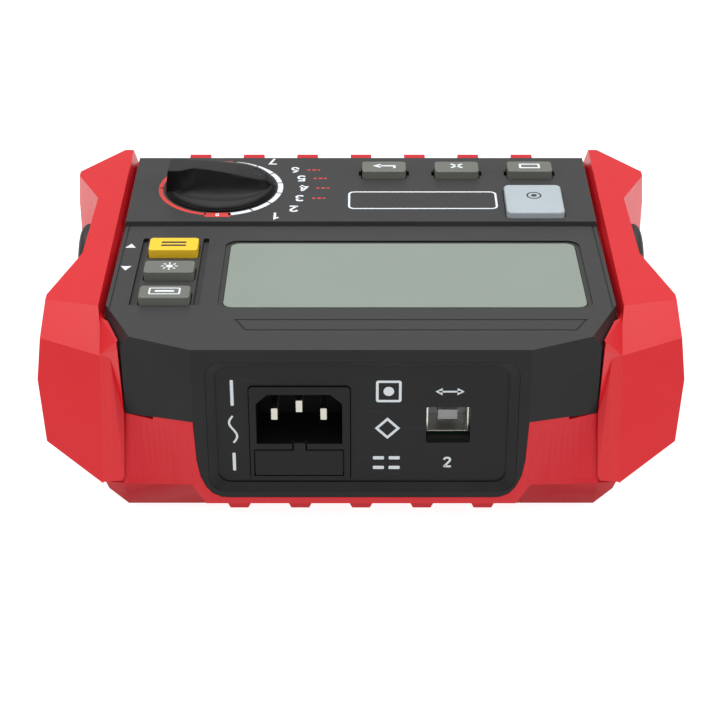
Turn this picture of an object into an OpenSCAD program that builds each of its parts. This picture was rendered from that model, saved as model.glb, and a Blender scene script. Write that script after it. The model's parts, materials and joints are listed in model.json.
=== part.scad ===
// Bench and hand-held loop and trip tester: a faceted two-part case with two
// side guards, a rotary selector, seven keys, a display, a mains inlet with a
// fuse drawer, a data socket and a battery compartment under a hinged door.
// Inside each module y is measured from the connector face, z from the feet.

/* [Case] */
// Thickness of the case walls
wall = 2.4; // [2.2:0.1:2.6]
// Height of the feet under the base
foot_h = 1.8; // [1.4:0.1:1.8]
// Width of each foot where it meets the base
foot_w = 6.9; // [6:0.1:7.2]
// Spacing of the feet
foot_pitch = 17.8; // [17.4:0.1:18]
// Thickness of the side guards
guard_t = 2.6; // [2.2:0.1:3]

/* [Selector] */
// Radius of the knob's skirt
knob_r = 17.8; // [16.5:0.1:17.8]
// Gap between the knob's skirt and the panel
knob_gap = 0.4; // [0.3:0.1:0.6]
// Radial clearance of the knob's hub in the panel
hub_gap = 0.05; // [0.03:0.01:0.09]

/* [Keys] */
// Clearance around each key in its hole
key_gap = 0.35; // [0.3:0.05:0.5]
// Height of the keys above the panel
key_h = 2.6; // [2:0.1:2.8]

/* [Inlet] */
// Length of the inlet's pins in front of their floor
pin_len = 15; // [13:0.5:16]
// Clearance of the fuse drawer in its channel
drawer_gap = 0.3; // [0.2:0.05:0.4]

/* [Battery] */
// Diameter of each cell
cell_d = 14.3; // [14:0.1:14.5]
// Length of each cell without its button
cell_l = 49.2; // [49:0.1:49.5]

/* [Hidden] */
face_y = 67.15;
base_z = foot_h;
tilt = 2.87;
knob_x = -45.2;
knob_y = 107.6;
panel_z = 54.7;
board_z = 43;
board_t = 1.6;
power_z = 26;
posts = [[-62.5, 17.5, 4], [62.5, 17.5, 4], [-62.5, 121, 4], [62.5, 110.2, 2.9]];
board_bosses = [[-64, 80], [66, 79], [20, 106], [-37, 16.5], [45, 16.5]];
power_bosses = [[-57, 36], [57, 36], [-50.2, 108], [50.2, 108]];
guard_holes = [[38, 22], [108, 22]];
lug_y = 80;
lug_z = 40;
door_axis_y = 62;
door_axis_z = 3;
tray_y0 = 63.5;
tray_y1 = 117.5;
left_keys = [[59.5, 68.4], [43.6, 51.8], [27, 35]];
right_keys = [[0.4, 14.6], [24.1, 38.3], [47.8, 62.2]];

// Moves from the connector-face frame to the part's own frame
module at() { translate([0, -face_y, 0]) children(); }

// All space behind a plane through p whose outward normal is n
module behind(p, n) {
  translate(p) rotate([0, acos(n[2] / norm(n)), atan2(n[1], n[0])])
    translate([-250, -250, -500]) cube([500, 500, 500]);
}

// The same plane on both sides of the middle, moved inwards by d
module pair(p, n, d) {
  u = n / norm(n);
  intersection() {
    behind(p - d * u, u);
    mirror([1, 0, 0]) behind(p - d * u, u);
  }
}

module box(a, b) { translate(a) cube(b - a); }

// Rounded rectangle between two corners
module rrect(x0, x1, y0, y1, r, fn = 32) {
  translate([x0 + r, y0]) square([x1 - x0 - 2 * r, y1 - y0]);
  translate([x0, y0 + r]) square([x1 - x0, y1 - y0 - 2 * r]);
  for (x = [x0 + r, x1 - r], y = [y0 + r, y1 - r]) translate([x, y]) circle(r = r, $fn = fn);
}

// Upright outline (x, z) pushed from y0 to y1
module facing(y0, y1) { translate([0, y1, 0]) rotate([90, 0, 0]) linear_extrude(y1 - y0) children(); }

// Side outline (y, z) pushed from x0 to x1
module sideways(x0, x1) { translate([x0, 0, 0]) rotate([90, 0, 90]) linear_extrude(x1 - x0) children(); }

// Frame of the sloping display panel: x, distance along it, height over it
module on_panel() { translate([0, 8.6, 57.2]) rotate([-tilt, 0, 0]) children(); }

// Top outline of the case, lowered by d
module top_side(d) {
  sideways(-100, 100) polygon([[-10, 0], [-10, 57.2 - d], [8.6, 57.2 - d], [82.5, 53.5 - d],
    [83.6, (d > 0 ? 53.5 : panel_z) - d], [140, (d > 0 ? 53.5 : panel_z) - d], [140, 0]]);
}

// Body of the case without its front tongue, all faces moved in by d
module case_body(d) {
  intersection() {
    box([-73.5 + d, d, base_z + d], [73.5 - d, 130.4 - d, 70]);
    top_side(d);
    pair([47.4, 0, 0], [0.39, -0.921, 0], d);
    pair([67.6, 8.6, 0], [0.885, -0.466, 0], d);
    behind([0, 0, 12.4] - d * [0, -0.87, -0.493], [0, -0.87, -0.493]);
    behind([0, 130.4, 12.4] - d * [0, 0.87, -0.493], [0, 0.87, -0.493]);
    pair([47.4, 0, 12.4], [0.339, -0.801, -0.493], d);
    pair([73.5, 0, 9.4], [0.82, 0, -0.573], d);
    // chamfer on the near corners of the panel
    pair([65.5, 8.9, 57.2], [0.84, -0.345, 0.41], d);
  }
}

// Outline of the front tongue of the top cover, grown by g
module tongue(g) {
  polygon([[-47.4 - g, 60], [-47.4 - g, 33.5], [-46.8 - g, 20.5], [-45.9 - g, 15.2], [-44.3 - g, 11.5 - g / 2],
    [-42.6 - g / 2, 9.4 - g], [-40.2, 8.2 - g], [-38, 8 - g], [38, 8 - g], [40.2, 8.2 - g], [42.6 + g / 2, 9.4 - g],
    [44.3 + g, 11.5 - g / 2], [45.9 + g, 15.2], [46.8 + g, 20.5], [47.4 + g, 33.5], [47.4 + g, 60]]);
}

// Everything above the parting line, which drops towards the guards
module above_parting() {
  sideways(-100, 100) polygon([[-10, 36], [0, 33.5], [8.6, 31.3], [140, 31.3], [140, 80], [-10, 80]]);
}

module rib(x, y0, y1, z0, z1, w0, w1) {
  translate([x, y1, 0]) rotate([90, 0, 0]) linear_extrude(y1 - y0)
    polygon([[-w1 / 2, z0], [w1 / 2, z0], [w0 / 2, z1], [-w0 / 2, z1]]);
}

module top_cover() {
  color([0.22, 0.22, 0.23]) at() difference() {
    union() {
      difference() {
        intersection() { case_body(0); above_parting(); }
        case_body(wall);
      }
      intersection() {
        facing(0, 4.6) tongue(0);
        top_side(0);
      }
      for (p = posts) translate([p[0], p[1], 14]) cylinder(r = p[2], h = p[1] < 60 ? 40.6 : 38, $fn = 32);
      for (p = board_bosses) translate([p[0], p[1], board_z + board_t]) cylinder(r = 2.8, h = p[1] < 50 ? 10.6 : 7.2, $fn = 28);
      // side lips that locate the lower shell
      for (m = [0, 1]) mirror([m, 0, 0]) {
        box([69.3, 30, 28.5], [70.7, 112, 33.5]);
        box([69.3, 30, 31.3], [71.6, 112, 33.5]);
      }
    }
    // pocket for the connector plate
    facing(-1, 3.2) rrect(-43.6, 44.4, 9.9, 53.3, 5);
    facing(3, 5) rrect(-41.4, 42.2, 12.1, 51.1, 3);
    // display window with a stepped edge and a pocket for its lens
    on_panel() {
      translate([0, 0, -6]) linear_extrude(12) rrect(-40, 65.5, 17.4, 61.9, 3);
      translate([0, 0, -0.5]) linear_extrude(6) rrect(-41.4, 66.9, 16, 63.3, 4);
      translate([0, 0, -6]) linear_extrude(5.1) rrect(-43, 68.5, 14.4, 64.9, 1);
      // left key holes and the slots beside them
      for (k = left_keys) translate([0, 0, -6]) linear_extrude(12)
        rrect(-64.2 - key_gap, -49.4 + key_gap, k[0] - 8.6 - key_gap, k[1] - 8.6 + key_gap, 1.2);
      for (x = [-66.05, -47.55]) translate([0, 0, -1.2]) linear_extrude(4) rrect(x - 0.9, x + 0.9, 18.4, 65, 0.7);
      // outline of the name label
      difference() {
        translate([0, 0, -0.25]) linear_extrude(2) polygon([[-33.1, 2.6], [61.2, 2.6], [64.4, 9.4], [-36.1, 9.4]]);
        translate([0, 0, -1]) linear_extrude(3) polygon([[-32.4, 3], [60.5, 3], [63.5, 9], [-35.2, 9]]);
      }
      // fine line along both edges of the panel
      for (x = [-72.4, 72]) translate([x, 12, -0.35]) cube([0.4, 62, 2]);
    }
    for (k = right_keys) translate([0, 0, 40]) linear_extrude(20)
      rrect(k[0] - key_gap, k[1] + key_gap, 114.4 - key_gap, 122.1 + key_gap, 1.2);
    for (k = right_keys, x = [k[0] - 1.1, k[1] + 0.1]) box([x, 116.6, 53.4], [x + 1, 120, 60]);
    translate([0, 0, 40]) linear_extrude(20) rrect(45.8 - key_gap, 64 + key_gap, 86 - key_gap, 106 + key_gap, 1.8);
    // selector bushing
    translate([knob_x, knob_y, 40]) cylinder(r = 6, h = 20, $fn = 48);
    // screw bores
    for (p = posts) translate([p[0], p[1], 13]) cylinder(r = 1.5, h = 14, $fn = 24);
    for (p = board_bosses) translate([p[0], p[1], board_z]) cylinder(r = 1, h = 6.4, $fn = 20);
  }
}

// Corner of the lower shell: an upright face that leans out towards the bottom, a small ledge and a chamfer
// that stays straight across. x, depth of the face at the parting line, and the share along the corner.
corner_at = concat([[46.5, 0.1, 0.01]], [for (i = [1 : 12]) [47.4 + 20.6 * i / 12, 8.77 * i / 12, i / 12]]);
module corner_fill(g) {
  k = len(corner_at);
  pts = [for (c = corner_at) for (q = [[c[1] - g, 31.2], [1.2 * c[2] - g, 13 + 1.3 * c[2] + g * 0.6], [-0.4 * c[2] - g, 12.3 + 0.8 * c[2]],
    [6 - g, 1.8], [14, 1.8], [14, 31.2]]) [c[2] > 0.99 ? 68 + g : c[0], q[0], q[1]]];
  e = (k - 1) * 6;
  polyhedron(points = pts, faces = concat([[4, 5, 0], [4, 0, 1], [4, 1, 2], [4, 2, 3]],
    [[e + 4, e, e + 5], [e + 4, e + 1, e], [e + 4, e + 2, e + 1], [e + 4, e + 3, e + 2]],
    [for (i = [0 : k - 2], j = [0 : 5], h = [0, 1]) let (a = i * 6 + j, b = i * 6 + (j + 1) % 6)
      h == 0 ? [a, a + 6, b] : [b, a + 6, b + 6]]));
  // turned part of the skirt under the guard's end
  polyhedron(points = [[67.9, 6 - g, 1.8], [67.9, -0.4 - g, 13.1], [73.4 + g, 0.6 - g, 13.1], [72.8 + g, 2.6 - g, 9.4],
      [67.9, 30, 1.8], [67.9, 30, 13.1], [73.4 + g, 30, 13.1], [72.8 + g, 30, 9.4]],
    faces = [[0, 1, 2], [0, 2, 3], [7, 6, 5], [7, 5, 4], [0, 4, 5], [0, 5, 1], [1, 5, 6], [1, 6, 2], [2, 6, 7], [2, 7, 3],
      [3, 7, 4], [3, 4, 0]]);
}

module lower_shell() {
  color([0.85, 0.16, 0.18]) at() difference() {
    union() {
      difference() {
        union() {
          difference() { case_body(0); above_parting(); }
          for (m = [0, 1]) mirror([m, 0, 0]) corner_fill(0);
          // raised lip under and round the tongue
          facing(0, 6.2) polygon([[-46, 20], [-47.6, 13.4], [-48.7, 12.3], [-44.7, 5.8], [44.7, 5.8], [48.7, 12.3], [47.6, 13.4], [46, 20]]);
        }
        difference() {
          case_body(wall);
          // floor and walls kept round the posts
        }
        box([-80, 5, 31.3], [80, 125, 60]);
        // room for the tongue of the top cover
        facing(-1, 4.75) tongue(0.12);
      }
      // feet along the base
      for (i = [-3 : 3]) {
        y0 = abs(i) == 3 ? 12 : 6.2;
        if (abs(i) == 3) rib(i * foot_pitch, y0, 124.4, 0, base_z + 0.4, foot_w + 0.4, foot_w - 1.7);
        else {
          rib(i * foot_pitch, y0, 57, 0, base_z + 0.4, foot_w + 0.4, foot_w - 1.7);
          rib(i * foot_pitch, 124.1, 124.9, 0, base_z + 0.4, foot_w + 0.4, foot_w - 1.7);
        }
        // the feet run up the far wall over the top cover's edge
        translate([i * foot_pitch - foot_w / 2, 0, 0]) sideways(0, foot_w)
          polygon([[124.4, 0], [128.2, 0], [134.2, 10.6], [134.2, 53.9], [133.5, 54.5], [130.55, 54.5], [130.55, 31.2],
            [130, 31.2], [130, 14], [124.4, 3.4]]);
      }
      // posts for the case screws, the power board and the data board
      for (p = posts) translate([p[0], p[1], 3]) cylinder(r = p[2] + 0.6, h = 10.8, $fn = 32);
      for (p = power_bosses) translate([p[0], p[1], 3]) cylinder(r = 3.2, h = power_z - 3, $fn = 28);
      for (x = [14.6, 35]) translate([x, 20, 3]) cylinder(r = 2.4, h = 20.8, $fn = 24);
    }
    // counterbored holes for the case screws
    for (p = posts) translate([p[0], p[1], -1]) {
      cylinder(r = 3.3, h = 7, $fn = 32);
      cylinder(r = 1.7, h = 20, $fn = 24);
    }
    for (p = power_bosses) translate([p[0], p[1], 17]) cylinder(r = 1.25, h = 12, $fn = 20);
    for (y = guard_holes, x = [-80, 60]) translate([x, y[0], y[1]]) rotate([0, 90, 0]) cylinder(r = 1.6, h = 20, $fn = 24);
    // battery opening and its hinge holes
    box([-45.6, 60.5, -1], [45.6, 124, 6]);
    translate([-47.6, door_axis_y, door_axis_z]) rotate([0, 90, 0]) cylinder(r = 0.86, h = 95.2, $fn = 24);
  }
}

// Plan of a side guard at the right, with every face moved in by d
module guard_plan(d) {
  polygon([[60, -10], [93.2 - d, -10], [93.2 - d, 28 - d / 3], [84.1 - d, 60 - d / 3], [83.6 - d, 97.5 + d / 3],
    [92.4 - d, 116 + d / 3 - d], [78.2 - d * 0.5, 134.5 - d], [60, 134.5 - d]]);
}

module guard_solid(d) {
  intersection() {
    linear_extrude(60) guard_plan(d);
    behind([84, 0, 56 - d], [0, 0, 1]);
    // outer side: leans in above and below its widest line
    behind([93.1, 0, 38] - d * [0.996, 0, 0.09], [0.996, 0, 0.09]);
    behind([93.1, 0, 38] - d * [0.99, 0, -0.14], [0.99, 0, -0.14]);
    // sloping near-end faces
    behind([84, 29.2, 56] - d * [0.12, -0.5, 0.857], [0.12, -0.5, 0.857]);
    behind([74, 12.6, 47.5] - d * [0.324, -0.885, 0.332], [0.324, -0.885, 0.332]);
    behind([74, -0.4, 13] - d * [0.30, -0.90, 0.31], [0.30, -0.90, 0.31]);
    // sloping underside
    behind([74, 0, 13] - d * [0.45, 0, -0.893], [0.45, 0, -0.893]);
    // far end leans forward a little
    behind([80, 134.5, 30] - d * [0, 0.99, 0.02], [0, 0.99, 0.02]);
    // inner side wall above the case, leaning outwards
    union() {
      box([60, -20, 0], [100, 140, 51.5]);
      behind([74.4, 60, 51.5], [-0.95, 0, 0.29]);
    }
  }
}

// Near end of the guard where it wraps round the case's corner: an inner chamfer and a narrow strip beside the corner
module guard_corner() {
  polyhedron(points = [[74, 12.8, 48.2], [74, -0.2, 13.4], [71, 0.1, 13.4], [71, 11.2, 47.6], [68.6, 9, 51.6], [69, 10.3, 53.7],
      [74.4, 23, 54.4], [67.8, 7.7, 31.8], [67.9, 0.5, 13.4], [66, 16, 13.4], [66, 16, 31.8], [66, 16, 51.6], [66, 16, 53.7],
      [72, 26, 50], [75, 26, 54.6], [75, 26, 14], [75, 14, 47.5], [75, 1.2, 14], [75, 23.5, 53.5]],
    faces = [[0, 1, 2], [0, 2, 3], [3, 2, 8], [3, 8, 7], [3, 7, 4], [0, 3, 4], [0, 4, 5], [0, 5, 6], [4, 7, 10], [4, 10, 11],
      [7, 8, 9], [7, 9, 10], [5, 4, 11], [5, 11, 12], [6, 5, 12], [6, 12, 13], [6, 13, 14], [6, 14, 18], [6, 18, 16],
      [6, 16, 0], [0, 16, 17], [0, 17, 1], [16, 18, 14], [16, 14, 15], [16, 15, 17], [1, 17, 15], [1, 15, 9], [1, 9, 8],
      [1, 8, 2], [9, 15, 14], [9, 14, 13], [9, 13, 12], [9, 12, 11], [9, 11, 10]]);
}

module guard() {
  difference() {
    union() {
      difference() { guard_solid(0); case_body(-0.8); box([50, -20, 0], [74, 14, 60]); }
      difference() { guard_corner(); case_body(-0.3); }
    }
    corner_fill(0.25);
    // keeps the guard in front of the case's corner facets
    intersection() {
      guard_solid(guard_t);
      union() {
        box([77, 10, 0], [100, 126, 60]);
      }
    }
    // screw and lug bores
    for (y = guard_holes) translate([60, y[0], y[1]]) rotate([0, 90, 0]) cylinder(r = 1.5, h = 20.5, $fn = 24);
    translate([60, lug_y, lug_z]) rotate([0, 90, 0]) {
      cylinder(r = 2.1, h = 30, $fn = 24);
      cylinder(r = 3.6, h = 18, $fn = 32);
      translate([0, 0, 23.5]) cylinder(r = 14.2, h = 10, $fn = 64);
    }
  }
  // bosses for the screws
  for (y = guard_holes) translate([74.6, y[0], y[1]]) rotate([0, 90, 0]) difference() {
    cylinder(r = 4, h = 8, $fn = 32);
    translate([0, 0, -1]) cylinder(r = 1.5, h = 7, $fn = 24);
  }
}

module side_guard_right() { color([0.9, 0.2, 0.22]) at() guard(); }
module side_guard_left() { color([0.9, 0.2, 0.22]) at() mirror([1, 0, 0]) guard(); }

module connector_plate() {
  color([0.16, 0.16, 0.17]) at() difference() {
    union() {
      facing(2, 3.2) rrect(-43.45, 44.25, 10.05, 53.15, 4.85);
      // short tunnel to the data socket, which sits back from the plate
      facing(3, 6.5) rrect(17.5, 32, 24.4, 38.2, 1.2);
    }
    facing(0, 6) rrect(-31.8, -2.9, 12.6, 44.4, 1.4);
    facing(0, 8) rrect(18.5, 31, 25.4, 37.3, 0.6);
  }
}

module case_screws() {
  color([0.7, 0.7, 0.72]) at() for (p = posts) translate([p[0], p[1], 0]) difference() {
    union() {
      translate([0, 0, 3.8]) cylinder(r = 2.9, h = 2.2, $fn = 32);
      translate([0, 0, 5.5]) cylinder(r = 1.5, h = 20.5, $fn = 24);
    }
    for (a = [0, 90]) rotate([0, 0, a]) translate([-1.9, -0.4, 3]) cube([3.8, 0.8, 1.9]);
  }
}

module guard_screws() {
  color([0.7, 0.7, 0.72]) at() for (s = [-1, 1], y = guard_holes) translate([0, y[0], y[1]]) scale([s, 1, 1]) {
    translate([69, 0, 0]) rotate([0, 90, 0]) difference() {
      cylinder(r = 2.8, h = 2.05, $fn = 32);
      for (a = [0, 90]) rotate([0, 0, a]) translate([-1.9, -0.4, -1]) cube([3.8, 0.8, 2]);
    }
    translate([71, 0, 0]) rotate([0, 90, 0]) cylinder(r = 1.5, h = 9, $fn = 24);
  }
}

module lug() {
  translate([83.5, lug_y, lug_z]) rotate([0, 90, 0]) difference() {
    union() {
      rotate_extrude($fn = 64) polygon([[0, 0], [14, 0], [14, 2.2], [13.4, 3.2], [12, 3.9], [8, 4.5], [0, 4.6]]);
      translate([0, 0, -2.4]) cylinder(r = 1.95, h = 2.9, $fn = 24);
    }
    translate([0, 0, -3]) cylinder(r = 1.1, h = 5.2, $fn = 24);
    // bar across a finger-wide slot for the strap
    for (s = [-1, 1]) translate([-5.5, s * 6 - 1.6, 1.6]) cube([11, 3.2, 9]);
  }
}
module strap_lug_right() { color([0.12, 0.12, 0.12]) at() lug(); }
module strap_lug_left() { color([0.12, 0.12, 0.12]) at() mirror([1, 0, 0]) lug(); }

module lug_screws() {
  color([0.7, 0.7, 0.72]) at() for (s = [-1, 1]) scale([s, 1, 1]) translate([0, lug_y, lug_z]) {
    translate([79.3, 0, 0]) rotate([0, 90, 0]) cylinder(r = 3.2, h = 1.7, $fn = 32);
    translate([80.8, 0, 0]) rotate([0, 90, 0]) cylinder(r = 1.1, h = 4.6, $fn = 24);
  }
}

module display_lens() {
  color([0.7, 0.75, 0.7, 0.4]) at() on_panel() translate([0, 0, -2.4]) linear_extrude(1.5) rrect(-42.7, 68.2, 14.7, 64.6, 1);
}
module lcd_glass() {
  color([0.62, 0.66, 0.62]) at() on_panel() box([-42, 15.4, -5.1], [67.4, 64, -2.5]);
}
module backlight_panel() {
  color([0.9, 0.9, 0.85]) at() on_panel() box([-40, 18.2, -7.8], [65.4, 61.2, -5.15]);
}
module lcd_frame() {
  color([0.15, 0.15, 0.15]) at() intersection() {
    on_panel() difference() {
      union() {
        box([-43.3, 14.2, -14], [68.7, 65.2, -2.6]);
      }
      box([-42.2, 15.2, -20], [67.6, 64.2, 0]);
    }
    box([-80, 0, board_z + board_t], [80, 140, 70]);
  }
}
module zebra_strips() {
  color([0.55, 0.5, 0.5]) at() intersection() {
    on_panel() for (s = [15.5, 61.9]) box([-38, s, -14], [63.4, s + 2, -5.1]);
    box([-80, 0, board_z + board_t], [80, 140, 70]);
  }
}

// Selector: the grip points along +x from the knob's centre at rest
module grip() {
  intersection() {
    translate([0, 0, panel_z + 1]) cylinder(r = 17.2, h = 12, $fn = 64);
    // top: a short rear facet, then three falling facets towards the tip
    behind([-8, 0, 63.55], [-0.045, 0, 1]);
    behind([-8, 0, 63.55], [0.142, 0, 0.99]);
    behind([1.5, 0, 62.2], [0.26, 0, 0.965]);
    behind([7, 0, 60.6], [0.38, 0, 0.925]);
    // sides: slope outwards to the skirt, narrower at the tip and pinched behind
    for (s = [-1, 1]) scale([1, s, 1]) intersection() {
      behind([0, 4, 62.4], [0.03, 0.62, 0.785]);
      behind([9.2, 3.6, 59.7], [0.42, 0.80, 0.43]);
      behind([-8, 3.2, 63.55], [0.02, 0.60, 0.80]);
    }
  }
}

module selector_knob() {
  color([0.25, 0.25, 0.26]) at() translate([knob_x, knob_y, 0]) difference() {
    union() {
      translate([0, 0, panel_z + knob_gap]) rotate_extrude($fn = 96)
        polygon([[0, 0], [knob_r, 0], [knob_r, 0.7], [knob_r - 0.5, 1.15], [0, 1.3]]);
      grip();
      // shoulder behind the grip
      intersection() {
        translate([0, 0, panel_z + 1]) cylinder(r = 17.2, h = 12, $fn = 64);
        box([-17.2, -4.9, 50], [-8, 4.9, 63.5]);
        behind([-8, 0, 63.55], [-0.045, 0, 1]);
        for (s = [-1, 1]) scale([1, s, 1]) behind([-8, 3.3, 63.55], [0.21, 0.978, 0]);
      }
      cylinder(r = 6 - hub_gap, h = 6, $fn = 48);
      translate([0, 0, 49.6]) cylinder(r = 6 - hub_gap, h = 6, $fn = 48);
    }
    translate([0, 0, -1]) cylinder(r = 8, h = 50.6, $fn = 32);
    translate([0, 0, 45]) cylinder(r = 3, h = 13, $fn = 32);
  }
}

module selector_rotor() {
  color([0.85, 0.85, 0.8]) at() translate([knob_x, knob_y, 0]) difference() {
    union() {
      translate([0, 0, 46.3]) cylinder(r = 14, h = 3, $fn = 64);
      translate([0, 0, 46.3]) cylinder(r = 3, h = 11.2, $fn = 32);
      translate([0, 0, 43.4]) cylinder(r = 2, h = 3, $fn = 32);
    }
    for (a = [45, 225]) rotate([0, 0, a]) translate([7.5, 0, 47.8]) rotate([0, 90, 0]) cylinder(r = 1.25, h = 8, $fn = 24);
  }
}

module wiper_contacts() {
  color([0.8, 0.65, 0.3]) at() translate([knob_x, knob_y, 0]) for (a = [20, 140, 260]) rotate([0, 0, a]) {
    box([6, -1.5, 45.9], [12.4, 1.5, 46.3]);
    box([6, -1.5, 44.9], [6.4, 1.5, 46.3]);
    for (x = [8, 11.4]) box([x, -1.2, 44.7], [x + 1, 1.2, 46]);
  }
}

module detent_balls() {
  color([0.75, 0.75, 0.78]) at() translate([knob_x, knob_y, 47.8]) for (a = [45, 225]) rotate([0, 0, a])
    translate([13.1, 0, 0]) sphere(r = 1.2, $fn = 28);
}

// Points round a coil of wire for one detent spring, along +x
function coil(turns, r, l, w, n, m) = [for (i = [0 : turns * n]) let (a = 360 * i / n, x = l * i / (turns * n))
  for (j = [0 : m - 1]) let (b = 360 * j / m, q = r + w * cos(b)) [x + w * sin(b), q * cos(a), q * sin(a)]];
module coil_spring(turns, r, l, w) {
  n = 14; m = 6; k = turns * n;
  polyhedron(points = coil(turns, r, l, w, n, m),
    faces = concat([[for (j = [0 : m - 1]) j]], [[for (j = [m - 1 : -1 : 0]) k * m + j]],
      [for (i = [0 : k - 1], j = [0 : m - 1]) [i * m + j, (i + 1) * m + j, (i + 1) * m + (j + 1) % m, i * m + (j + 1) % m]]));
}
module detent_springs() {
  color([0.75, 0.75, 0.78]) at() translate([knob_x, knob_y, 47.8]) for (a = [45, 225]) rotate([0, 0, a])
    translate([7.8, 0, 0]) coil_spring(5, 0.8, 3.9, 0.2);
}
module detent_ring() {
  color([0.9, 0.9, 0.85]) at() translate([knob_x, knob_y, board_z + board_t]) difference() {
    cylinder(r = 16.8, h = 4.6, $fn = 64);
    translate([0, 0, -1]) cylinder(r = 14.4, h = 8, $fn = 64);
    for (i = [0 : 15]) rotate([0, 0, i * 22.5]) translate([13.4, 0, -1]) cylinder(r = 1.35, h = 8, $fn = 20);
  }
}

// A key on the sloping panel between s0 and s1
module panel_key(y0, y1) {
  on_panel() {
    translate([0, 0, -2.6]) linear_extrude(key_h + 2.6) rrect(-64.2, -49.4, y0 - 8.6, y1 - 8.6, 1.2);
    translate([0, 0, -3.8]) linear_extrude(1.25) rrect(-65.3, -48.3, y0 - 9.6, y1 - 7.6, 1.2);
    translate([-56.8, (y0 + y1) / 2 - 8.6, -6]) cylinder(r = 3, h = 3, $fn = 28);
  }
}
module yellow_key() { color([0.97, 0.8, 0.2]) at() panel_key(left_keys[0][0], left_keys[0][1]); }
module backlight_key() { color([0.5, 0.51, 0.48]) at() panel_key(left_keys[1][0], left_keys[1][1]); }
module display_key() { color([0.5, 0.51, 0.48]) at() panel_key(left_keys[2][0], left_keys[2][1]); }

// A key on the level panel
module flat_key(x0, x1, y0, y1, r, h) {
  under = 51.1;
  translate([0, 0, under - 0.3]) linear_extrude(panel_z + h - under + 0.3) rrect(x0, x1, y0, y1, r);
  translate([0, 0, under - 1.4]) linear_extrude(1.2) rrect(x0 - 1.1, x1 + 1.1, y0 - 1, y1 + 1, r);
  translate([(x0 + x1) / 2, (y0 + y1) / 2, under - 3.2]) cylinder(r = 3, h = 2.4, $fn = 28);
}
module enter_key() { color([0.5, 0.51, 0.48]) at() flat_key(right_keys[0][0], right_keys[0][1], 114.4, 122.1, 1.2, key_h); }
module clear_key() { color([0.5, 0.51, 0.48]) at() flat_key(right_keys[1][0], right_keys[1][1], 114.4, 122.1, 1.2, key_h); }
module memory_key() { color([0.5, 0.51, 0.48]) at() flat_key(right_keys[2][0], right_keys[2][1], 114.4, 122.1, 1.2, key_h); }
module measure_key() { color([0.75, 0.8, 0.84]) at() flat_key(45.8, 64, 86, 106, 1.8, 2); }

module dome(x, y, h) {
  translate([x, y, board_z + board_t + 0.9]) rotate_extrude($fn = 28)
    polygon([[0, 0], [4.6, 0], [4.2, h * 0.4], [2.9, h * 0.75], [2.9, h], [0, h]]);
}
module keypad_left() {
  color([0.8, 0.8, 0.8]) at() {
    box([-67, 25.6, board_z + board_t], [-46.6, 72, board_z + board_t + 1]);
    dome(-56.8, 64, 2.35);
    dome(-56.8, 47.7, 3.1);
    dome(-56.8, 31, 3.9);
  }
}
module keypad_right() {
  color([0.8, 0.8, 0.8]) at() {
    difference() {
      union() {
        box([-1.5, 112.4, board_z + board_t], [56.4, 125, board_z + board_t + 1]);
        box([43, 84.5, board_z + board_t], [67, 112.4, board_z + board_t + 1]);
      }
      translate([62.5, 110.2, 40]) cylinder(r = 3.5, h = 10, $fn = 32);
    }
    for (k = right_keys) dome((k[0] + k[1]) / 2, 118.25, 2.35);
    dome(54.9, 96, 2.35);
  }
}

module control_board() {
  color([0.1, 0.4, 0.2]) at() difference() {
    box([-69.5, 13, board_z], [69.5, 126.5, board_z + board_t]);
    for (p = posts) translate([p[0], p[1], 40]) cylinder(r = p[2] + 0.6, h = 8, $fn = 32);
    for (p = board_bosses) translate([p[0], p[1], 40]) cylinder(r = 1.2, h = 8, $fn = 24);
    translate([knob_x, knob_y, 40]) cylinder(r = 2.05, h = 8, $fn = 32);
    // corners cleared for the case's facets, and a step for the inlet
    for (s = [-1, 1]) scale([s, 1, 1]) translate([69.5, 13, 40]) rotate([0, 0, 45]) translate([-7, -7, 0]) cube([14, 14, 8]);
    box([-33, 10, 40], [-1.5, 31, 50]);
  }
}
module logic_chips() {
  color([0.1, 0.1, 0.1]) at() {
    box([4, 60, board_z - 1.6], [18, 74, board_z]);
    box([30, 62, board_z - 1.4], [38, 72, board_z]);
    box([-14, 84, board_z - 1.4], [-4, 90, board_z]);
    box([26, 40, board_z - 1.4], [36, 46, board_z]);
  }
}
module buzzer() {
  color([0.08, 0.08, 0.08]) at() translate([-52, 62, board_z - 5]) difference() {
    cylinder(r = 6, h = 5, $fn = 40);
    translate([0, 0, -1]) cylinder(r = 1, h = 2.5, $fn = 20);
  }
}
module board_screws() {
  color([0.7, 0.7, 0.72]) at() for (p = board_bosses) translate([p[0], p[1], 0]) difference() {
    union() {
      translate([0, 0, board_z - 1.4]) cylinder(r = 2, h = 1.4, $fn = 28);
      translate([0, 0, board_z - 0.5]) cylinder(r = 1, h = 6.6, $fn = 20);
    }
    for (a = [0, 90]) rotate([0, 0, a]) translate([-1.3, -0.3, board_z - 2]) cube([2.6, 0.6, 1.3]);
  }
}
module board_header() {
  color([0.12, 0.12, 0.12]) at() box([50, 60, power_z + 1.6], [55, 76, board_z]);
}

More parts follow.
